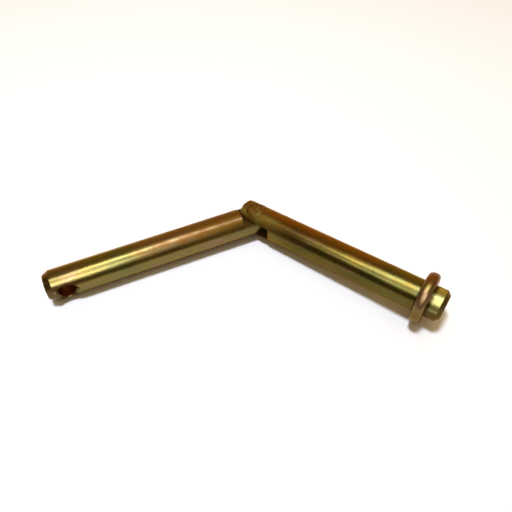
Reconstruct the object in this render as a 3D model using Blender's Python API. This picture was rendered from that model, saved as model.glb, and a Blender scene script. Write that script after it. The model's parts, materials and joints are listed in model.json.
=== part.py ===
# Hinge pin with a knuckle joint in its middle.
#
# A round bar in two halves. The head half ends in a fork, the tail half in a tongue, and a
# peened rivet through fork and tongue lets the pin fold to either side. The head half carries
# a fixed collar near its free end; the tail half has a cross hole for a linch pin.
#
# The pin lies folded on the ground: the tail half along -X, the head half swung towards -Y,
# with the larger collar holding its end up. The world origin is the middle of the ground that
# its box covers. Metres, +Z up.

import math

import bmesh
import bpy
from mathutils import Matrix, Vector

MM = 0.001

# Bar
BAR_DIAMETER = 20.0 * MM
TAIL_LENGTH = 141.5 * MM        # rivet axis to the tail's tip
HEAD_LENGTH = 118.0 * MM        # rivet axis to the collar's inner face
STUB_LENGTH = 9.2 * MM          # bar standing out beyond the collar
STUB_CHAMFER = 2.4 * MM         # 45 degrees
TAIL_CHAMFER = 2.0 * MM         # depth of the tip's bevel
TAIL_CHAMFER_LENGTH = 4.0 * MM  # its length along the bar

# Collar
COLLAR_DIAMETER = 33.0 * MM
COLLAR_THICKNESS = 6.2 * MM
COLLAR_EDGE = 2.2 * MM          # radius of the outer corners
COLLAR_BORE_CHAMFER = 0.6 * MM
COLLAR_FIT = 0.3 * MM           # radial clearance, bore to bar

# Knuckle
TONGUE_THICKNESS = 9.0 * MM
TONGUE_FIT = 0.3 * MM           # clearance on each side of the tongue
EAR_OVERHANG = 11.0 * MM        # radius of the ears' round ends about the rivet
EAR_CROWN = 4.5 * MM            # how far the ears' ends curve in over their height
TONGUE_OVERHANG = 10.0 * MM     # radius of the tongue's round end about the rivet
TONGUE_CHAMFER = 0.5 * MM
SHOULDER_GAP = 1.0 * MM         # ears' ends to the tail's shoulders
ROOT_GAP = 5.5 * MM             # tongue's end to the root of the slot
ROOT_FILLET = 2.0 * MM          # corner radius at the root of the slot

# Rivet
RIVET_DIAMETER = 7.6 * MM
RIVET_FIT = 0.3 * MM            # radial clearance in ears and tongue
RIVET_HEAD_DIAMETER = 12.0 * MM
RIVET_FLARE = 1.4 * MM          # height over which the shank widens to the head
RIVET_PROUD = 0.8 * MM          # peened crown standing out of the bar
RIVET_DOME = 20.0 * MM          # radius of the crown's low dome
RIVET_EDGE = 1.0 * MM           # width of the crown's rounded edge
RIVET_HEAD_SINK = 0.4 * MM      # widest ring of the head below the bar's skin

# Cross hole
HOLE_DIAMETER = 10.5 * MM
HOLE_SETBACK = 11.6 * MM        # tip to the hole's axis
HOLE_COUNTERSINK = 0.7 * MM

# Pose
FOLD = math.radians(58.0)       # bend away from straight as it lies

# Resolution
BAR_SIDES = 96
COLLAR_SIDES = 96
RIVET_SIDES = 48
HOLE_SIDES = 48
CORNER_STEPS = 5

# Derived sizes
BAR_RADIUS = BAR_DIAMETER / 2
COLLAR_RADIUS = COLLAR_DIAMETER / 2
SLOT_HALF = TONGUE_THICKNESS / 2 + TONGUE_FIT
SLOT_ROOT = TONGUE_OVERHANG + ROOT_GAP
SHOULDER = EAR_OVERHANG + SHOULDER_GAP
RIVET_RADIUS = RIVET_DIAMETER / 2
RIVET_HEAD_RADIUS = RIVET_HEAD_DIAMETER / 2
HEAD_TIP = HEAD_LENGTH + COLLAR_THICKNESS + STUB_LENGTH
MARGIN = 5.0 * MM               # how far cutters run past what they cut
EAR_CROWN_MARGIN = 0.5 * MM     # how far the ears' curve is carried past the bar's skin
ON_PLANE = 0.1 * MM             # vertices this near a plane count as lying on it

# The bar's skin is lowest, seen along the rivet, where the rivet's head meets the bar's flanks.
# The head's widest ring sits just under that height.
HEAD_SEAT = math.sqrt(BAR_RADIUS ** 2 - RIVET_HEAD_RADIUS ** 2) - RIVET_HEAD_SINK

# The pin lies on the rivet's crown, the collar and the tail's tip. The tail dips from the rivet
# to its tip, and the head half climbs to its collar.
HINGE_HEIGHT = BAR_RADIUS + RIVET_PROUD
DIP = math.asin(RIVET_PROUD / (TAIL_LENGTH - TAIL_CHAMFER_LENGTH))
COLLAR_CONTACT = HEAD_LENGTH + COLLAR_EDGE
CLIMB = (math.atan2(COLLAR_RADIUS, COLLAR_CONTACT)
         - math.asin(HINGE_HEIGHT / math.hypot(COLLAR_RADIUS, COLLAR_CONTACT)))
RISE_TO_SIDE = math.sin(CLIMB) - math.cos(FOLD) * math.sin(DIP)
ROLL = math.asin(RISE_TO_SIDE / (math.sin(FOLD) * math.cos(DIP)))


def clear_scene():
    for obj in list(bpy.data.objects):
        bpy.data.objects.remove(obj, do_unlink=True)


def make_material(name, colour, roughness):
    material = bpy.data.materials.new(name)
    material.use_nodes = True
    shader = material.node_tree.nodes["Principled BSDF"]
    shader.inputs["Base Color"].default_value = (*colour, 1.0)
    shader.inputs["Roughness"].default_value = roughness
    shader.inputs["Metallic"].default_value = 1.0
    return material


def object_from_bmesh(name, bm):
    mesh = bpy.data.meshes.new(name)
    bm.normal_update()
    bm.to_mesh(mesh)
    bm.free()
    obj = bpy.data.objects.new(name, mesh)
    bpy.context.scene.collection.objects.link(obj)
    return obj


def revolve(name, profile, axis, sides):
    """Turn an open profile of (station, radius) points about +X or +Z into a closed solid.

    A profile that starts and ends at radius 0 is closed by its poles. Any other profile is
    a ring, and its last point joins its first.
    """
    bm = bmesh.new()
    rings = []
    for station, radius in profile:
        if radius == 0.0:
            point = (station, 0.0, 0.0) if axis == "X" else (0.0, 0.0, station)
            rings.append([bm.verts.new(point)])
            continue
        ring = []
        for index in range(sides):
            angle = 2 * math.pi * index / sides
            across, up = radius * math.cos(angle), radius * math.sin(angle)
            point = (station, across, up) if axis == "X" else (across, up, station)
            ring.append(bm.verts.new(point))
        rings.append(ring)
    pairs = list(zip(rings, rings[1:]))
    if len(rings[0]) > 1:
        pairs.append((rings[-1], rings[0]))
    for first, second in pairs:
        for index in range(sides):
            after = (index + 1) % sides
            if len(first) == 1:
                bm.faces.new((first[0], second[index], second[after]))
            elif len(second) == 1:
                bm.faces.new((first[index], second[0], first[after]))
            else:
                bm.faces.new((first[index], second[index], second[after], first[after]))
    bmesh.ops.recalc_face_normals(bm, faces=bm.faces)
    return object_from_bmesh(name, bm)


def box(name, low, high):
    bm = bmesh.new()
    size = Vector(high) - Vector(low)
    centre = (Vector(high) + Vector(low)) / 2
    bmesh.ops.create_cube(bm, size=1.0, matrix=Matrix.Translation(centre) @ Matrix.Diagonal((*size, 1)))
    return object_from_bmesh(name, bm)


def apply_boolean(obj, tool, operation):
    """Cut, keep or join with the tool, write the result into the mesh and drop the tool."""
    modifier = obj.modifiers.new(operation.lower(), "BOOLEAN")
    modifier.operation = operation
    modifier.solver = "EXACT"
    modifier.object = tool
    bpy.context.view_layer.update()
    graph = bpy.context.evaluated_depsgraph_get()
    mesh = bpy.data.meshes.new_from_object(obj.evaluated_get(graph))
    obj.modifiers.clear()
    obj.data = mesh
    bpy.data.objects.remove(tool, do_unlink=True)


def finish(obj, material, sharp_degrees=28.0):
    obj.data.materials.clear()
    obj.data.materials.append(material)
    obj.data.shade_smooth()
    obj.data.set_sharp_from_angle(angle=math.radians(sharp_degrees))


def mirrored(upper):
    lower = [(-station, radius) for station, radius in reversed(upper)]
    return lower + upper


def drum(name, upper, sides):
    """A closed solid about the rivet's axis, the same above and below the middle plane."""
    return revolve(name, mirrored(upper + [(upper[-1][0], 0.0)]), "Z", sides)


def ear_outline():
    """The ears' round end: upright beside the slot, curving in towards the bar's skin."""
    height = BAR_RADIUS + EAR_CROWN_MARGIN - SLOT_HALF
    outline = []
    for step in range(CORNER_STEPS + 1):
        angle = math.pi / 2 * step / CORNER_STEPS
        outline.append((
            SLOT_HALF + height * math.sin(angle),
            EAR_OVERHANG - EAR_CROWN * (1 - math.cos(angle)),
        ))
    return outline


def rivet_profile(clearance):
    """Half the rivet's outline above the middle plane: shank, flare and head's widest ring."""
    return [
        (HEAD_SEAT - RIVET_FLARE, RIVET_RADIUS + clearance),
        (HEAD_SEAT, RIVET_HEAD_RADIUS + clearance),
    ]


def rivet_hole():
    reach = BAR_RADIUS + MARGIN
    upper = rivet_profile(RIVET_FIT) + [(reach, RIVET_HEAD_RADIUS + RIVET_FIT)]
    return drum("rivet_hole", upper, RIVET_SIDES)


def slot_cutter():
    """The fork's slot: open at the ears' ends, with filleted corners at its root."""
    cutter = box(
        "slot",
        (-EAR_OVERHANG - MARGIN, -BAR_RADIUS - MARGIN, -SLOT_HALF),
        (SLOT_ROOT, BAR_RADIUS + MARGIN, SLOT_HALF),
    )
    bm = bmesh.new()
    bm.from_mesh(cutter.data)
    root = [
        edge for edge in bm.edges
        if all(abs(vert.co.x - SLOT_ROOT) < ON_PLANE for vert in edge.verts)
        and abs(edge.verts[0].co.y - edge.verts[1].co.y) > MARGIN
    ]
    bmesh.ops.bevel(bm, geom=root, offset=ROOT_FILLET, segments=CORNER_STEPS, affect="EDGES", profile=0.5)
    bm.to_mesh(cutter.data)
    bm.free()
    return cutter


def make_forked_half(material):
    """Bar along +X from the fork, through the collar, to the chamfered stub."""
    start = -EAR_OVERHANG - MARGIN
    bar = revolve(
        "forked_half",
        [
            (start, 0.0), (start, BAR_RADIUS), (HEAD_TIP - STUB_CHAMFER, BAR_RADIUS),
            (HEAD_TIP, BAR_RADIUS - STUB_CHAMFER), (HEAD_TIP, 0.0),
        ],
        "X", BAR_SIDES,
    )
    reach = BAR_RADIUS + MARGIN
    keeper = drum("ear_end", ear_outline(), BAR_SIDES)
    bar_side = box("bar_side", (0, -reach, -reach), (HEAD_TIP + MARGIN, reach, reach))
    apply_boolean(keeper, bar_side, "UNION")
    apply_boolean(bar, keeper, "INTERSECT")
    apply_boolean(bar, slot_cutter(), "DIFFERENCE")
    apply_boolean(bar, rivet_hole(), "DIFFERENCE")
    finish(bar, material)
    return bar


def make_tongue_half(material):
    """Bar along -X from the tongue to the chamfered tip with the cross hole."""
    bar = revolve(
        "tongue_half",
        [
            (-TAIL_LENGTH, 0.0), (-TAIL_LENGTH, BAR_RADIUS - TAIL_CHAMFER),
            (-TAIL_LENGTH + TAIL_CHAMFER_LENGTH, BAR_RADIUS), (TONGUE_OVERHANG + MARGIN, BAR_RADIUS),
            (TONGUE_OVERHANG + MARGIN, 0.0),
        ],
        "X", BAR_SIDES,
    )
    reach = BAR_RADIUS + MARGIN
    half = TONGUE_THICKNESS / 2
    outline = [(half - TONGUE_CHAMFER, TONGUE_OVERHANG), (half, TONGUE_OVERHANG - TONGUE_CHAMFER)]
    tongue = drum("tongue_end", outline, BAR_SIDES)
    neck = box("neck", (-SHOULDER - MARGIN, -reach, -half), (0, reach, half))
    shank = box("shank", (-TAIL_LENGTH - MARGIN, -reach, -reach), (-SHOULDER, reach, reach))
    apply_boolean(tongue, neck, "UNION")
    apply_boolean(tongue, shank, "UNION")
    apply_boolean(bar, tongue, "INTERSECT")
    bore = RIVET_RADIUS + RIVET_FIT
    apply_boolean(bar, drum("rivet_bore", [(reach, bore)], RIVET_SIDES), "DIFFERENCE")
    apply_boolean(bar, cross_hole(), "DIFFERENCE")
    finish(bar, material)
    return bar


def cross_hole():
    """Level hole through the tail, square to the rivet, countersunk where it breaks out."""
    radius = HOLE_DIAMETER / 2
    mouth = math.sqrt(BAR_RADIUS ** 2 - radius ** 2)
    reach = BAR_RADIUS + MARGIN
    wide = radius + reach - mouth + HOLE_COUNTERSINK
    cutter = drum("cross_hole", [(mouth - HOLE_COUNTERSINK, radius), (reach, wide)], HOLE_SIDES)
    place = Matrix.Translation((-TAIL_LENGTH + HOLE_SETBACK, 0, 0)) @ Matrix.Rotation(math.pi / 2, 4, "X")
    cutter.data.transform(place)
    return cutter


def make_collar(material):
    """Ring on the head half, its outer corners rounded and its bore's edges broken."""
    inner = HEAD_LENGTH
    outer = HEAD_LENGTH + COLLAR_THICKNESS
    bore = BAR_RADIUS + COLLAR_FIT
    profile = [(inner + COLLAR_BORE_CHAMFER, bore), (inner, bore + COLLAR_BORE_CHAMFER)]
    for step in range(CORNER_STEPS + 1):
        angle = math.pi / 2 * step / CORNER_STEPS
        profile.append((
            inner + COLLAR_EDGE * (1 - math.cos(angle)),
            COLLAR_RADIUS - COLLAR_EDGE * (1 - math.sin(angle)),
        ))
    for step in range(CORNER_STEPS + 1):
        angle = math.pi / 2 * step / CORNER_STEPS
        profile.append((
            outer - COLLAR_EDGE * (1 - math.sin(angle)),
            COLLAR_RADIUS - COLLAR_EDGE * (1 - math.cos(angle)),
        ))
    profile += [(outer, bore + COLLAR_BORE_CHAMFER), (outer - COLLAR_BORE_CHAMFER, bore)]
    collar = revolve("collar", profile, "X", COLLAR_SIDES)
    finish(collar, material)
    return collar


def crown_height(radius):
    """Height of the crown's dome above the middle plane, that far from the rivet's axis."""
    return HINGE_HEIGHT - RIVET_DOME + math.sqrt(RIVET_DOME ** 2 - radius ** 2)


def make_hinge_rivet(material):
    """Rivet on the hinge axis, its shank flared into a low domed crown at both ends."""
    inner = RIVET_HEAD_RADIUS - RIVET_EDGE
    wall_top = crown_height(inner) - RIVET_EDGE
    upper = rivet_profile(0.0)
    for step in range(CORNER_STEPS + 1):
        angle = math.pi / 2 * step / CORNER_STEPS
        upper.append((wall_top + RIVET_EDGE * math.sin(angle), inner + RIVET_EDGE * math.cos(angle)))
    for step in range(CORNER_STEPS - 1, -1, -1):
        radius = inner * step / CORNER_STEPS
        upper.append((crown_height(radius), radius))
    rivet = revolve("hinge_rivet", mirrored(upper), "Z", RIVET_SIDES)
    finish(rivet, material)
    return rivet


def add_empty(name, matrix):
    empty = bpy.data.objects.new(name, None)
    empty.empty_display_size = BAR_DIAMETER
    empty.matrix_world = matrix
    bpy.context.scene.collection.objects.link(empty)
    return empty


def stand_on_ground(bodies):
    """Move the bodies together, so that the pin's box stands centred on the world origin."""
    bpy.context.view_layer.update()
    points = [
        obj.matrix_world @ vert.co
        for obj in bpy.data.objects if obj.type == "MESH"
        for vert in obj.data.vertices
    ]
    low = Vector([min(point[axis] for point in points) for axis in range(3)])
    high = Vector([max(point[axis] for point in points) for axis in range(3)])
    for body in bodies:
        body.location -= Vector(((low.x + high.x) / 2, (low.y + high.y) / 2, low.z))


def main():
    clear_scene()
    bar_zinc = make_material("bar_zinc", (0.62, 0.52, 0.22), 0.30)
    tail_zinc = make_material("tail_zinc", (0.66, 0.50, 0.20), 0.30)
    collar_zinc = make_material("collar_zinc", (0.62, 0.44, 0.24), 0.34)
    rivet_zinc = make_material("rivet_zinc", (0.48, 0.36, 0.18), 0.45)

    # Both bodies have their origin on the rivet's axis, where it crosses the bar's axis.
    tilt = Matrix.Rotation(-DIP, 4, "Y") @ Matrix.Rotation(-ROLL, 4, "X")
    tail_frame = Matrix.Translation((0, 0, HINGE_HEIGHT)) @ tilt
    head_frame = tail_frame @ Matrix.Rotation(-FOLD, 4, "Z")
    tail = add_empty("tail_body", tail_frame)
    head = add_empty("head_body", head_frame)

    make_tongue_half(tail_zinc).parent = tail
    make_forked_half(bar_zinc).parent = head
    make_collar(collar_zinc).parent = head
    make_hinge_rivet(rivet_zinc).parent = head
    stand_on_ground((tail, head))


main()
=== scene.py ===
import json
import math

import bpy
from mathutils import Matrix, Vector, noise


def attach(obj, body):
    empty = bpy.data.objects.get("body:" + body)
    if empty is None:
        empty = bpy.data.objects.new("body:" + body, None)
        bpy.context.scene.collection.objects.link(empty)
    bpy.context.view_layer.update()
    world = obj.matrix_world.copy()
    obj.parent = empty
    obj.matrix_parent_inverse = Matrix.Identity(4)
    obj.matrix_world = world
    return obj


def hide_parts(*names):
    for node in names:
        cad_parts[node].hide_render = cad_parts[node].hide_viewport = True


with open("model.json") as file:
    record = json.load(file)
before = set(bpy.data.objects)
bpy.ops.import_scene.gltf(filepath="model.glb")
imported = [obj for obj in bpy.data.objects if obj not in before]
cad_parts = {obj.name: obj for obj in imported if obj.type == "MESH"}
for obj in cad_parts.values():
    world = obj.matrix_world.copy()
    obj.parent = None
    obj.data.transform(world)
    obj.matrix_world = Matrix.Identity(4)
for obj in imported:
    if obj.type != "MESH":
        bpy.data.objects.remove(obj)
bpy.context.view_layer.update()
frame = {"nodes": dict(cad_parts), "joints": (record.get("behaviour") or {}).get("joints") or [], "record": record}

MM = 0.001

# Frames of the two halves at rest: the hinge, and the directions along each bar and the rivet
KNUCKLE = frame["joints"][0]
MOUNT_AXES = {mount["name"]: Vector(mount["axis"]) for mount in frame["record"]["mounts"]}
HINGE = Vector(KNUCKLE["pos_m"])
RIVET_AXIS = Vector(KNUCKLE["axis"]).normalized()
HEAD_AXIS = MOUNT_AXES["stub_end"].normalized()
TAIL_AXIS = MOUNT_AXES["tail_end"].normalized()

# Camera, as fitted to the photo
CAMERA_PLACE = Vector((-0.05823, -0.15219, 0.25958))
CAMERA_FORWARD = Vector((0.24292, 0.55871, -0.79299))
CAMERA_LENS = 34.14
CAMERA_SENSOR = 36.0
CAMERA_CLIP = (0.01, 20.0)

# Floor, and the backdrop round it, in metres
FLOOR_REACH = 3.0
FLOOR_COLOUR = (0.92, 0.91, 0.90, 1)
FLOOR_ROUGHNESS = 0.9
FLOOR_SPECULAR = 0.1
WALL_RADIUS = 1.5
WALL_HEIGHT = 3.0
WALL_SIDES = 96
WALL_COLOUR = (0.76, 0.72, 0.66, 1)

# The room's colours along one direction, from the camera's side to the far right
ROOM_DEPTH = (0.75, 0.65, 0.0)
ROOM = (
    (0.35, (0.17, 0.115, 0.03, 1)),
    (0.72, (0.42, 0.27, 0.09, 1)),
    (0.96, (1.10, 0.65, 0.16, 1)),
)

# Lamps as name, place, width, depth and radiance; those for the floor have a colour too
LAMP_AIM = Vector((0.0, 0.0, 0.0))
FLOOR_LAMPS = (
    ("overhead", (-0.11, 0.05, 1.20), 0.20, 0.20, 110.0, (0.80, 0.87, 1.0)),
    ("sky", (0.0, 0.0, 1.60), 4.0, 4.0, 0.29, (1.0, 0.90, 0.82)),
)
CARDS = (
    ("key", (0.00, 0.025, 0.70), 0.44, 0.16, 12.0),
    ("second", (-0.22, -0.47, 0.70), 0.32, 0.32, 8.5),
    ("gap", (-0.15, -0.18, 0.70), 0.22, 0.11, 4.5),
    ("side", (-0.43, -0.19, 0.70), 0.34, 0.14, 6.2),
    ("far_side", (-0.60, -0.30, 0.70), 0.22, 0.18, 3.0),
)

# Yellow zinc's hues, some of them also used as painted shade and one as a painted highlight, the tint of its
# grazing reflections, and the shares that make a darker, shaded copy of the hues (painted shade)
GOLD = (0.180, 0.136, 0.026, 1)
OLIVE = (0.135, 0.122, 0.030, 1)
# Pale straw, used as a painted highlight on the stub
STRAW_HIGHLIGHT = (0.330, 0.325, 0.120, 1)
GREEN = (0.085, 0.125, 0.045, 1)
ROSE = (0.230, 0.135, 0.070, 1)
RUST = (0.165, 0.066, 0.010, 1)
AMBER = (0.140, 0.082, 0.008, 1)
# Moss, used as painted shade on undersides and ends
MOSS_SHADE = (0.070, 0.050, 0.012, 1)
DARK = (0.040, 0.022, 0.006, 1)
# Dark red, used as painted shade in the cross hole and at the collar's far top
BORE = (0.130, 0.036, 0.014, 1)
EDGE_TINT = (0.85, 0.60, 0.30, 1)
SHADED_COPY_SHARES = (0.58, 0.52, 0.34)

# Noise over the metal: steps per millimetre along and across the bar, detail and roughness
DRIFT = (0.035, 0.075)
DRIFT_SHIFT = (7.3, 1.9, 4.1)
LINES = (0.025, 1.1, 4.0, 0.7)
SPECKS = (0.55, 0.7, 5.0, 0.7)
MOTTLE = (0.16, 0.24, 4.0, 0.65)
FINE = (0.12, 3.2)
SWELL = (0.05, 0.22, 2.0)
BLOTCH = (0.4, 0.4)
RING_STEP = 2.6
RING_DETAIL = 2.0

# Where the noise changes the finish, as the two ends of each change and what it changes to
SECOND_HUE = (0.48, 0.64)
THIRD_HUE = (0.56, 0.72)
GREEN_LINES = (0.35, 0.65, 0.0, 0.20)
ROUGH_LINES = (0.3, 0.7, -0.05, 0.06)
DARK_SPECKS = (0.60, 0.72)
PITS = (0.60, 0.75, 0.0, 0.5)
TAIL_PATCHES = (0.38, 0.56)
EAR_PATCHES = (0.45, 0.60)
BAR_PATCHES = (0.30, 0.50)
RUST_BLOTCHES = (0.36, 0.50)
DARK_BLOTCHES = (0.58, 0.66)

# Relief that the noise gives the metal, and how deep the bump node makes it
LINE_RELIEF = 0.5
FINE_RELIEF = 0.45
SWELL_RELIEF = 5.0
RING_RELIEF = 1.4
BUMP_STRENGTH = 0.35
BUMP_DISTANCE = 0.00006
COAT_ROUGHNESS = 0.16

# Shapes that the finish follows, in millimetres from the hinge along a half or from its axis
TIP = 141.5
TIP_BEVEL_FROM = TIP - 4.0
HOLE_AT = 129.9
HOLE_RADIUS = 5.25
STUB_BEVEL_FROM = 131.0
BEVEL_FADE = (-0.3, 0.2)
LATHE_FADE = (-0.1, 0.1)
SLOT_END = (16.5, 17.0)
SLOT_HEIGHT = (-4.9, 4.9, 0.1)
SLOT_SKIN = (9.3, 9.8)

# Where the finish changes, in the same measures: the two ends of each change, or a band's two
# ends and how soft they are. Across grows towards the camera on the tail, away from it on the
# head.
TAIL_RUST = (62.0, 96.0)
TAIL_AMBER = (25.0, 65.0)
TAIL_NEAR_SIDE = (6.5, 9.4)
TIP_NEAR_SIDE = (-1.0, 4.0)
TIP_UPPER_SIDE = (0.0, 4.0)
TIP_ROSE = (124.0, TIP, 10.0)
TIP_MOSS = (130.0, 134.0)
# Painted shade round the cross hole and in it
HOLE_RIM_SHADE = (HOLE_RADIUS + 0.6, HOLE_RADIUS + 2.4)
HOLE_BORE_SHADE = (HOLE_RADIUS + 0.1, HOLE_RADIUS + 0.3)
EAR_GOLD = (8.0, 34.0)
EAR_RUST = (12.0, 46.0)
BAR_RUST = (74.0, 112.0)
BAR_FAR_SIDE = (-4.5, -0.5)
BAR_GREEN = (100.0, 116.0, 16.0)
# Band on the bar either side of the collar, darkened as painted shade
BAR_COLLAR_SHADE = (117.5, 125.0, 1.4)
STUB_STRAW = (125.0, 127.0)
STUB_FAR_SIDE = (3.0, 7.0)
STUB_STRAW_SIDE = (1.0, 4.5)
STUB_MOSS = (124.0, 126.0)
STUB_MOSS_SIDE = (1.5, 4.5)

# The same for the collar, by its place from the near foot (below 0) to the far top, and by radius
# The near foot's amber and the far top's red are painted shade
COLLAR_FOOT_SHADE = (-11.0, -6.0)
COLLAR_ROSE = (-4.0, 4.0, 4.0)
COLLAR_TOP_SHADE = (8.0, 12.0)
COLLAR_RUST = (12.0, 15.5)
COLLAR_FACE = (14.2, 14.8)

# Rivet, in millimetres: radii, and heights from the hinge along its axis
BAR_RADIUS = 10.0
RIVET_SHANK = 3.8
RIVET_NECK = 4.0
RIVET_SEAT = 7.6
RIVET_FLARE = 1.4
RIVET_TOP = 10.62
RIVET_DOME = 20.0
RIVET_RIM = 6.7
RIVET_SIDES = 144

# Crowns: how deep the rim sits in the bar's skin, the rise over the skin and the share of the
# way in that it takes. A dent is a size in millimetres and steps per millimetre; a wave of the
# rim is a share of its radius and steps. The shifts keep the noise of the two ends apart.
CROWN_SUNK = 0.25
CROWN_RISE = 0.80
CROWN_SLOPE = 0.40
CROWN_STEPS = 28
DENTS = ((0.35, 0.6), (0.12, 1.3))
DENTS_SHIFT = 5.0
DENTS_FULL_AT = 0.25
DENTS_AT_TOP = 0.6
RIM_ROUND = 1.3
RIM_WAVES = ((0.10, 1.0), (0.05, 3.1))
RIM_SHIFT = 3.0

# Collar, in millimetres: radii, and places from the hinge along the bar
COLLAR_FROM = 118.0
COLLAR_THICK = 6.2
COLLAR_RADIUS = 16.5
COLLAR_BORE = 10.08
COLLAR_STRAIGHT = 1.4
COLLAR_SIDES = 180
COLLAR_STEPS = 32

# How round the collar's sides and rim are, its bulge all round and at one place, and how much
# bulge and radius vary. Waves are size, steps and shift of their noise.
COLLAR_SIDE_POWER = 0.85
COLLAR_RIM_POWER = 0.50
COLLAR_BULGE = 0.35
COLLAR_SWOLLEN = 0.5
COLLAR_SWOLLEN_AT = 0.7
COLLAR_WAVE = 0.4
COLLAR_WAVES = ((1.0, 1.1, (0.0, 0.0, 2.0)), (0.5, 2.6, (0.0, 0.0, 0.0)))
COLLAR_SHRINK = 0.018
COLLAR_SHRINK_WAVE = (1.0, 1.7, (5.0, 0.0, 0.0))

SHARP_ANGLE = math.radians(50)


def make_camera():
    data = bpy.data.cameras.new("camera")
    data.lens = CAMERA_LENS
    data.sensor_width = CAMERA_SENSOR
    data.clip_start, data.clip_end = CAMERA_CLIP
    camera = bpy.data.objects.new("camera", data)
    camera.location = CAMERA_PLACE
    camera.rotation_euler = CAMERA_FORWARD.to_track_quat("-Z", "Y").to_euler()
    bpy.context.scene.collection.objects.link(camera)
    bpy.context.scene.camera = camera


def stage_set(name, points, faces):
    """A piece of the studio with a plain material, as its object and its shader."""
    mesh = bpy.data.meshes.new(name)
    mesh.from_pydata(points, [], faces)
    material = bpy.data.materials.new(name + "_paper")
    material.use_nodes = True
    mesh.materials.append(material)
    made = bpy.data.objects.new(name, mesh)
    bpy.context.scene.collection.objects.link(made)
    return made, material.node_tree.nodes["Principled BSDF"]


def make_floor():
    corners = [(-1, -1), (1, -1), (1, 1), (-1, 1)]
    points = [(FLOOR_REACH * x, FLOOR_REACH * y, 0.0) for x, y in corners]
    floor, shader = stage_set("floor", points, [(0, 1, 2, 3)])
    shader.inputs["Base Color"].default_value = FLOOR_COLOUR
    shader.inputs["Roughness"].default_value = FLOOR_ROUGHNESS
    shader.inputs["Specular IOR Level"].default_value = FLOOR_SPECULAR


def make_backdrop():
    """A pale wall behind the low views; only the camera sees it, so it changes no reflection."""
    points, faces = [], []
    for side in range(WALL_SIDES):
        angle = 2 * math.pi * side / WALL_SIDES
        x, y = WALL_RADIUS * math.cos(angle), WALL_RADIUS * math.sin(angle)
        points += [(x, y, 0.0), (x, y, WALL_HEIGHT)]
        a, b = 2 * side, 2 * ((side + 1) % WALL_SIDES)
        faces.append((a, a + 1, b + 1, b))
    wall, shader = stage_set("backdrop", points, faces)
    wall.data.shade_smooth()
    shader.inputs["Base Color"].default_value = (0, 0, 0, 1)
    shader.inputs["Emission Color"].default_value = WALL_COLOUR
    shader.inputs["Emission Strength"].default_value = 1.0
    wall.visible_diffuse = wall.visible_glossy = wall.visible_shadow = False
    wall.visible_transmission = wall.visible_volume_scatter = False


def make_world():
    """A dim warm room: darkest on the camera's side, brightest at the far right."""
    world = bpy.data.worlds.new("studio")
    world.use_nodes = True
    tree = world.node_tree
    direction = tree.nodes.new("ShaderNodeTexCoord").outputs["Generated"]
    depth = tree.nodes.new("ShaderNodeVectorMath")
    depth.operation = "DOT_PRODUCT"
    tree.links.new(direction, depth.inputs[0])
    depth.inputs[1].default_value = ROOM_DEPTH
    place = tree.nodes.new("ShaderNodeMapRange")
    place.inputs["From Min"].default_value = -1.0
    tree.links.new(depth.outputs["Value"], place.inputs["Value"])
    ramp = tree.nodes.new("ShaderNodeValToRGB")
    tree.links.new(place.outputs["Result"], ramp.inputs[0])
    while len(ramp.color_ramp.elements) < len(ROOM):
        ramp.color_ramp.elements.new(1.0)
    for element, (position, colour) in zip(ramp.color_ramp.elements, ROOM):
        element.position = position
        element.color = colour
    tree.links.new(ramp.outputs["Color"], tree.nodes["Background"].inputs["Color"])
    bpy.context.scene.world = world


def add_softbox(name, place, width, depth, radiance, colour=(1, 1, 1)):
    """A rectangular lamp whose face has the given brightness whatever its size."""
    data = bpy.data.lights.new(name, "AREA")
    data.shape = "RECTANGLE"
    data.size = width
    data.size_y = depth
    data.energy = radiance * math.pi * width * depth
    data.color = colour
    lamp = bpy.data.objects.new(name, data)
    lamp.location = place
    lamp.rotation_euler = (LAMP_AIM - Vector(place)).to_track_quat("-Z", "Y").to_euler()
    lamp.visible_camera = False
    bpy.context.scene.collection.objects.link(lamp)
    return lamp


def make_lights():
    """Two lamps light the floor and stay out of the metal; the cards only show in the metal."""
    for lamp in FLOOR_LAMPS:
        add_softbox(*lamp).visible_glossy = False
    for card in CARDS:
        add_softbox(*card).visible_diffuse = False


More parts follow.
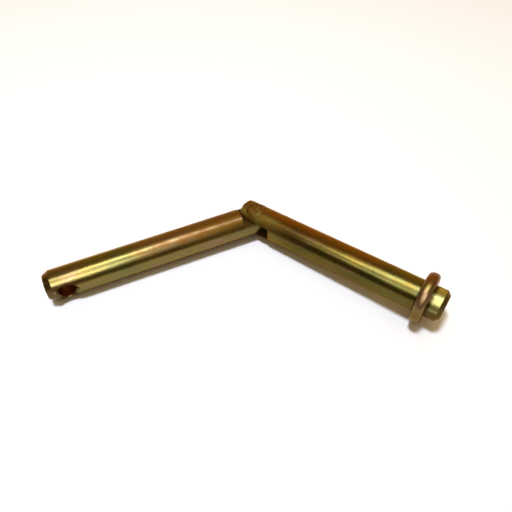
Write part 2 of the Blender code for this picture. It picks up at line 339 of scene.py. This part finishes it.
class Maker:
    """Adds nodes to one material and wires them up."""

    def __init__(self, name):
        self.material = bpy.data.materials.new(name)
        self.material.use_nodes = True
        self.tree = self.material.node_tree
        self.shader = self.tree.nodes["Principled BSDF"]

    def put(self, value, socket):
        if isinstance(value, bpy.types.NodeSocket):
            self.tree.links.new(value, socket)
        else:
            socket.default_value = value

    def vector(self, operation, a, b, out="Vector"):
        made = self.tree.nodes.new("ShaderNodeVectorMath")
        made.operation = operation
        self.put(a, made.inputs[0])
        self.put(b, made.inputs[1])
        return made.outputs[out]

    def math(self, operation, a, b=0.0):
        made = self.tree.nodes.new("ShaderNodeMath")
        made.operation = operation
        self.put(a, made.inputs[0])
        self.put(b, made.inputs[1])
        return made.outputs[0]

    def add(self, a, b):
        return self.math("ADD", a, b)

    def times(self, a, b):
        return self.math("MULTIPLY", a, b)

    def length(self, a, b):
        """How long the flat vector (a, b) is."""
        return self.math("SQRT", self.add(self.times(a, a), self.times(b, b)))

    def noise(self, place, detail=3.0, roughness=0.55):
        made = self.tree.nodes.new("ShaderNodeTexNoise")
        self.put(place, made.inputs["Vector"])
        made.inputs["Scale"].default_value = 1.0
        made.inputs["Detail"].default_value = detail
        made.inputs["Roughness"].default_value = roughness
        return made.outputs["Fac"]

    def fade(self, value, low, high, to_low=0.0, to_high=1.0):
        """Smoothly from one number to the other while the value goes from low to high."""
        made = self.tree.nodes.new("ShaderNodeMapRange")
        made.interpolation_type = "SMOOTHSTEP"
        self.put(value, made.inputs["Value"])
        made.inputs["From Min"].default_value = low
        made.inputs["From Max"].default_value = high
        made.inputs["To Min"].default_value = to_low
        made.inputs["To Max"].default_value = to_high
        return made.outputs["Result"]

    def fall(self, value, low, high):
        """1 below low, 0 above high."""
        return self.fade(value, low, high, 1.0, 0.0)

    def within(self, value, low, high, soft):
        """1 between two values, 0 outside them, with soft ends."""
        return self.times(self.fade(value, low - soft, low), self.fall(value, high, high + soft))

    def mix(self, share, a, b):
        made = self.tree.nodes.new("ShaderNodeMix")
        made.data_type = "RGBA"
        self.put(share, made.inputs[0])
        self.put(a, made.inputs[6])
        self.put(b, made.inputs[7])
        return made.outputs[2]

    def combine(self, x, y, z):
        made = self.tree.nodes.new("ShaderNodeCombineXYZ")
        for value, socket in zip((x, y, z), made.inputs):
            self.put(value, socket)
        return made.outputs[0]

    def along_across_up(self, origin, along, up):
        """The point in millimetres in a half's own frame, as three values."""
        coords = self.tree.nodes.new("ShaderNodeTexCoord").outputs["Object"]
        offset = self.vector("SUBTRACT", coords, tuple(origin))
        across = up.cross(along).normalized()
        found = []
        for axis in (along, across, up):
            part = self.vector("DOT_PRODUCT", offset, tuple(axis), "Value")
            found.append(self.times(part, 1000.0))
        return found


class Zinc(Maker):
    """Yellow passivated zinc on drawn bar: drifting hues, lengthwise streaks, specks and stains."""

    def __init__(self, name, along_axis, roughness=0.25, hues=(GOLD, OLIVE, ROSE), coat=0.35):
        super().__init__(name)
        self.shader.inputs["Coat Weight"].default_value = coat
        self.parts = self.along_across_up(HINGE, along_axis, RIVET_AXIS)
        self.around = self.length(self.parts[1], self.parts[2])
        drift = self.stretch(*DRIFT)
        self.lines = self.grain(*LINES)
        self.specks = self.grain(*SPECKS)
        self.mottle = self.grain(*MOTTLE)
        hue_a = self.noise(drift)
        hue_b = self.noise(self.vector("ADD", drift, DRIFT_SHIFT))
        self.colour = self.mix(self.fade(hue_a, *SECOND_HUE), hues[0], hues[1])
        self.colour = self.mix(self.fade(hue_b, *THIRD_HUE), self.colour, hues[2])
        self.colour = self.mix(self.fade(self.lines, *GREEN_LINES), self.colour, GREEN)
        self.rough = self.add(self.fade(self.lines, *ROUGH_LINES), roughness)
        self.height = self.times(self.lines, LINE_RELIEF)

    def stretch(self, along, across):
        """The point with other scales along and across the bar, for streaky noise."""
        x, y, z = self.parts
        return self.combine(self.times(x, along), self.times(y, across), self.times(z, across))

    def grain(self, along, across, detail=3.0, roughness=0.55):
        """Noise that is stretched along the bar."""
        return self.noise(self.stretch(along, across), detail, roughness)

    def stain(self, mask, hue, share=1.0, roughness=0.0):
        """Turns the finish to another hue where the mask is 1, and roughens it there."""
        mask = self.times(mask, share)
        self.colour = self.mix(mask, self.colour, hue)
        self.rough = self.add(self.rough, self.times(mask, roughness))

    def patchy(self, mask, low=0.40, high=0.62):
        """The mask, broken up into patches."""
        return self.times(mask, self.fade(self.mottle, low, high))

    def rings(self, mask):
        """Marks that the lathe left, round the bar's axis, where the mask is 1."""
        wave = self.noise(self.combine(self.times(self.around, RING_STEP), 0.0, 0.0), RING_DETAIL)
        self.height = self.add(self.height, self.times(self.times(wave, mask), RING_RELIEF))

    def end_of(self, bevel_from):
        """1 on the bevel and the face at a half's end."""
        return self.fade(self.parts[0], *(bevel_from + step for step in BEVEL_FADE))

    def turn_end(self, bevel_from):
        """Lathe marks on the bevel and the face at a half's end."""
        self.rings(self.fade(self.parts[0], *(bevel_from + step for step in LATHE_FADE)))

    def inside_knuckle(self):
        """1 on the faces inside the knuckle, 0 on the bar's skin."""
        along, _, up = self.parts
        mask = self.times(self.fall(along, *SLOT_END), self.within(up, *SLOT_HEIGHT))
        return self.times(mask, self.fall(self.around, *SLOT_SKIN))

    def done(self):
        """Adds dark specks and the relief, and hands all over to the shader."""
        self.stain(self.fade(self.specks, *DARK_SPECKS), DARK, 0.55, 0.18)
        height = self.add(self.height, self.times(self.grain(*FINE), FINE_RELIEF))
        height = self.add(height, self.times(self.grain(*SWELL), SWELL_RELIEF))
        pits = self.fade(self.specks, *PITS)
        bump = self.tree.nodes.new("ShaderNodeBump")
        bump.inputs["Strength"].default_value = BUMP_STRENGTH
        bump.inputs["Distance"].default_value = BUMP_DISTANCE
        self.put(self.math("SUBTRACT", height, pits), bump.inputs["Height"])
        self.put(bump.outputs["Normal"], self.shader.inputs["Normal"])
        self.put(self.rough, self.shader.inputs["Roughness"])
        self.put(self.colour, self.shader.inputs["Base Color"])
        self.shader.inputs["Metallic"].default_value = 1.0
        self.shader.inputs["Specular Tint"].default_value = EDGE_TINT
        self.shader.inputs["Coat Roughness"].default_value = COAT_ROUGHNESS
        return self.material


def shaded_copy(hue):
    """The same hue, darker and browner: the head half's shaded copy of the zinc, painted shade."""
    return tuple(part * share for part, share in zip(hue, SHADED_COPY_SHARES)) + (1,)


def tail_finish():
    """Rose, amber and rust towards the knuckle; painted shade: rust and moss on the tail's end, moss underneath
    near it, dark red in the cross hole and dark inside the knuckle.
    """
    zinc = Zinc("tail_finish", TAIL_AXIS)
    along, across, up = zinc.parts
    rusty = zinc.times(zinc.fall(along, *TAIL_RUST), zinc.fade(across, *TAIL_NEAR_SIDE, 1.0, 0.15))
    zinc.stain(rusty, ROSE, 0.6, 0.04)
    zinc.stain(zinc.times(rusty, zinc.fall(along, *TAIL_AMBER)), AMBER, 0.85, 0.16)
    zinc.stain(zinc.patchy(rusty, *TAIL_PATCHES), RUST, 0.75, 0.14)
    # Painted shade: the bevel and end face of the tail darkened in rust, and in moss on the near side
    shaded_tail_end = zinc.end_of(TIP_BEVEL_FROM)
    zinc.stain(shaded_tail_end, RUST, 0.75, 0.12)
    zinc.stain(zinc.times(shaded_tail_end, zinc.fade(across, *TIP_NEAR_SIDE)), MOSS_SHADE, 0.9)
    upper = zinc.fade(up, *TIP_UPPER_SIDE)
    rosy = zinc.patchy(zinc.within(along, *TIP_ROSE))
    zinc.stain(zinc.times(rosy, upper), ROSE, 0.8)
    # Painted shade: the underside near the tail's end darkened in moss
    shaded_underside = zinc.times(zinc.fade(along, *TIP_MOSS), zinc.fall(up, *TIP_UPPER_SIDE))
    zinc.stain(shaded_underside, MOSS_SHADE, 0.7)
    zinc.turn_end(TIP_BEVEL_FROM)
    from_hole = zinc.length(zinc.math("SUBTRACT", along, HOLE_AT), up)
    # Painted shade: dark ring round the cross hole, and its bore in dark red
    zinc.stain(zinc.fall(from_hole, *HOLE_RIM_SHADE), DARK, 0.35, 0.08)
    zinc.stain(zinc.fall(from_hole, *HOLE_BORE_SHADE), BORE, 1.0, 0.25)
    # Painted shade: the faces inside the knuckle darkened
    zinc.stain(zinc.inside_knuckle(), DARK, 0.7, 0.15)
    return zinc.done()


def bar_finish():
    """Gold and rust over the ears, rust on the far side, painted shade in the slot and at the collar.

    The stub has a painted straw highlight on its near upper side, and painted shade in moss below and on its end.
    """
    # Painted shade: the head half takes a darker copy of the zinc hues
    hues = tuple(shaded_copy(hue) for hue in (GOLD, OLIVE, ROSE))
    zinc = Zinc("bar_finish", HEAD_AXIS, 0.25, hues, 0.14)
    along, across, up = zinc.parts
    zinc.stain(zinc.fall(along, *EAR_GOLD), GOLD, 0.9, 0.17)
    zinc.stain(zinc.patchy(zinc.fall(along, *EAR_RUST), *EAR_PATCHES), RUST, 0.8, 0.04)
    far = zinc.times(zinc.fall(along, *BAR_RUST), zinc.fade(across, *BAR_FAR_SIDE))
    zinc.stain(zinc.patchy(far, *BAR_PATCHES), RUST, 0.8)
    zinc.stain(zinc.patchy(zinc.within(along, *BAR_GREEN)), GREEN, 0.35)
    # Painted highlight: pale straw on the stub's near upper side, with a little more roughness
    pale = zinc.times(zinc.fall(across, *STUB_FAR_SIDE), zinc.fade(up, *STUB_STRAW_SIDE))
    zinc.stain(zinc.times(pale, zinc.fade(along, *STUB_STRAW)), STRAW_HIGHLIGHT, 0.9, 0.10)
    # Painted shade: the stub's underside darkened in moss
    shaded_underside = zinc.times(zinc.fade(along, *STUB_MOSS), zinc.fall(up, *STUB_MOSS_SIDE))
    zinc.stain(shaded_underside, MOSS_SHADE, 0.9)
    # Painted shade: the bar darkened next to the collar
    zinc.stain(zinc.within(along, *BAR_COLLAR_SHADE), DARK, 0.7, 0.15)
    # Painted shade: the stub's bevel and end face darkened in moss
    zinc.stain(zinc.end_of(STUB_BEVEL_FROM), MOSS_SHADE, 0.9, 0.12)
    zinc.turn_end(STUB_BEVEL_FROM)
    # Painted shade: the faces inside the knuckle darkened
    zinc.stain(zinc.inside_knuckle(), DARK, 0.8, 0.2)
    return zinc.done()


def collar_finish():
    """Painted shade in amber at the near foot and in dark red at the far top; rose in the middle, rust towards the
    bar.
    """
    zinc = Zinc("collar_finish", HEAD_AXIS, 0.38, (GOLD, OLIVE, GOLD))
    slant = zinc.times(zinc.add(zinc.parts[1], zinc.parts[2]), 0.7)
    zinc.stain(zinc.within(slant, *COLLAR_ROSE), ROSE, 0.9)
    # Painted shade: the collar's far top in dark red, its near foot in amber
    zinc.stain(zinc.fade(slant, *COLLAR_TOP_SHADE), BORE, 0.85, 0.06)
    zinc.stain(zinc.fall(slant, *COLLAR_FOOT_SHADE), AMBER, 0.85, 0.06)
    zinc.stain(zinc.patchy(zinc.fade(zinc.around, *COLLAR_RUST, 1.0, 0.2)), RUST, 0.8, 0.10)
    zinc.rings(zinc.fall(zinc.around, *COLLAR_FACE))
    return zinc.done()


def rivet_finish():
    """Hammered crowns, mottled rust and dark."""
    zinc = Zinc("rivet_finish", HEAD_AXIS, 0.70, (GOLD, GOLD, RUST), 0.10)
    blotch = zinc.grain(*BLOTCH)
    zinc.stain(zinc.fade(blotch, *RUST_BLOTCHES), RUST, 0.9)
    zinc.stain(zinc.fade(blotch, *DARK_BLOTCHES), DARK, 0.5)
    return zinc.done()


def rivet_outline():
    """Stations (height, radius, on the crown) from the middle plane to the crown's middle.

    On the crown the height is a rise over the bar's skin, from the rim inwards.
    """
    neck = RIVET_SEAT - RIVET_FLARE
    rows = [(0.0, RIVET_SHANK, False), (neck, RIVET_SHANK, False), (neck, RIVET_NECK, False)]
    rows.append((-CROWN_SUNK, RIVET_RIM, True))
    for step in range(CROWN_STEPS):
        inward = step / CROWN_STEPS
        rise = CROWN_RISE * min(1.0, inward / CROWN_SLOPE) ** 0.5
        rows.append((rise, RIVET_RIM * (1 - inward), True))
    return rows


def hammered(height, radius, angle, end):
    """A crown's point after peening: an uneven rim that meets the bar's skin, and a dented top."""
    around = Vector((math.cos(angle) * RIM_ROUND, math.sin(angle) * RIM_ROUND, RIM_SHIFT * end))
    radius *= 1.0 + sum(size * noise.noise(around * step) for size, step in RIM_WAVES)
    across = radius * math.sin(angle)
    skin = math.sqrt(BAR_RADIUS ** 2 - across ** 2)
    place = Vector((radius * math.cos(angle), across, DENTS_SHIFT * end))
    dents = sum(size * noise.noise(place * step) for size, step in DENTS)
    inward = 1.0 - min(1.0, radius / RIVET_RIM)
    rise = height + (dents * min(1.0, inward / DENTS_FULL_AT) if height > 0 else 0.0)
    if end > 0:
        limit = RIVET_TOP + DENTS_AT_TOP * dents
    else:
        limit = RIVET_TOP - RIVET_DOME + math.sqrt(RIVET_DOME ** 2 - radius ** 2)
    return min(skin + rise, limit), radius


def make_peened_rivet():
    """The rivet with hammered crowns, in place on the hinge."""
    across = RIVET_AXIS.cross(HEAD_AXIS).normalized()
    forward = across.cross(RIVET_AXIS)
    points, faces = [], []
    upper = rivet_outline()
    rows = [(*row, -1) for row in reversed(upper[1:])] + [(*row, 1) for row in upper]
    for height, radius, on_crown, end in rows:
        for side in range(RIVET_SIDES):
            angle = 2 * math.pi * side / RIVET_SIDES
            z, r = hammered(height, radius, angle, end) if on_crown else (height, radius)
            spoke = forward * (r * math.cos(angle)) + across * (r * math.sin(angle))
            points.append(HINGE + (spoke + RIVET_AXIS * (z * end)) * MM)
    for row in range(len(rows) - 1):
        for side in range(RIVET_SIDES):
            after = (side + 1) % RIVET_SIDES
            a, b = row * RIVET_SIDES, (row + 1) * RIVET_SIDES
            faces.append((a + side, a + after, b + after, b + side))
    last = (len(rows) - 1) * RIVET_SIDES
    faces.append(tuple(reversed(range(RIVET_SIDES))))
    faces.append(tuple(range(last, last + RIVET_SIDES)))
    return put_in_place("peened_rivet", points, faces, "hinge_rivet")


def collar_section(bulge):
    """The collar's rounded section as (along, radius) points; the bulge widens it to the left."""
    half = COLLAR_THICK / 2
    points = [(COLLAR_THICK, COLLAR_BORE), (-bulge, COLLAR_BORE)]
    start = COLLAR_BORE + COLLAR_STRAIGHT
    for step in range(COLLAR_STEPS + 1):
        angle = math.pi * step / COLLAR_STEPS
        flat = math.copysign(abs(math.cos(angle)) ** COLLAR_SIDE_POWER, math.cos(angle))
        height = math.sin(angle) ** COLLAR_RIM_POWER
        left = half + bulge if flat > 0 else half
        points.append((half - flat * left, start + (COLLAR_RADIUS - start) * height))
    return points


def collar_unevenness(angle):
    """How far the collar bulges and how much its radius shrinks at one place round it."""
    around = Vector((math.cos(angle), math.sin(angle), 0.0))

    def wave(size, steps, shift):
        return size * noise.noise(around * steps + Vector(shift))

    swollen = COLLAR_SWOLLEN * max(0.0, math.cos(angle - COLLAR_SWOLLEN_AT))
    bulge = COLLAR_BULGE + swollen + COLLAR_WAVE * sum(wave(*each) for each in COLLAR_WAVES)
    shrink = 1.0 - COLLAR_SHRINK * (0.5 + wave(*COLLAR_SHRINK_WAVE))
    return max(0.0, bulge), min(1.0, shrink)


def make_collar():
    """The collar as pressed on: well rounded, a little uneven all round."""
    across = RIVET_AXIS.cross(HEAD_AXIS).normalized()
    up = HEAD_AXIS.cross(across)
    points, faces = [], []
    count = len(collar_section(0.0))
    for side in range(COLLAR_SIDES):
        angle = 2 * math.pi * side / COLLAR_SIDES
        bulge, shrink = collar_unevenness(angle)
        for along, radius in collar_section(bulge):
            if radius > COLLAR_BORE:
                radius *= shrink
            spoke = across * (radius * math.cos(angle)) + up * (radius * math.sin(angle))
            points.append(HINGE + (HEAD_AXIS * (COLLAR_FROM + along) + spoke) * MM)
    for side in range(COLLAR_SIDES):
        after = (side + 1) % COLLAR_SIDES
        for step in range(count):
            a, b = side * count + step, side * count + (step + 1) % count
            c, d = after * count + (step + 1) % count, after * count + step
            faces.append((a, d, c, b))
    return put_in_place("pressed_collar", points, faces, "collar")


def put_in_place(name, points, faces, node):
    """Makes a finer mesh and puts it in a node's place, on the same body."""
    mesh = bpy.data.meshes.new(name)
    mesh.from_pydata(points, [], faces)
    mesh.shade_smooth()
    mesh.set_sharp_from_angle(angle=SHARP_ANGLE)
    piece = bpy.data.objects.new(name, mesh)
    bpy.context.scene.collection.objects.link(piece)
    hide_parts(node)
    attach(piece, "head_body")
    return piece


def paint(name, material):
    mesh = frame["nodes"][name].data
    mesh.materials.clear()
    mesh.materials.append(material)


bpy.context.scene.view_settings.view_transform = "Standard"
make_camera()
make_floor()
make_backdrop()
make_world()
make_lights()
paint("forked_half", bar_finish())
paint("tongue_half", tail_finish())
make_collar().data.materials.append(collar_finish())
make_peened_rivet().data.materials.append(rivet_finish())
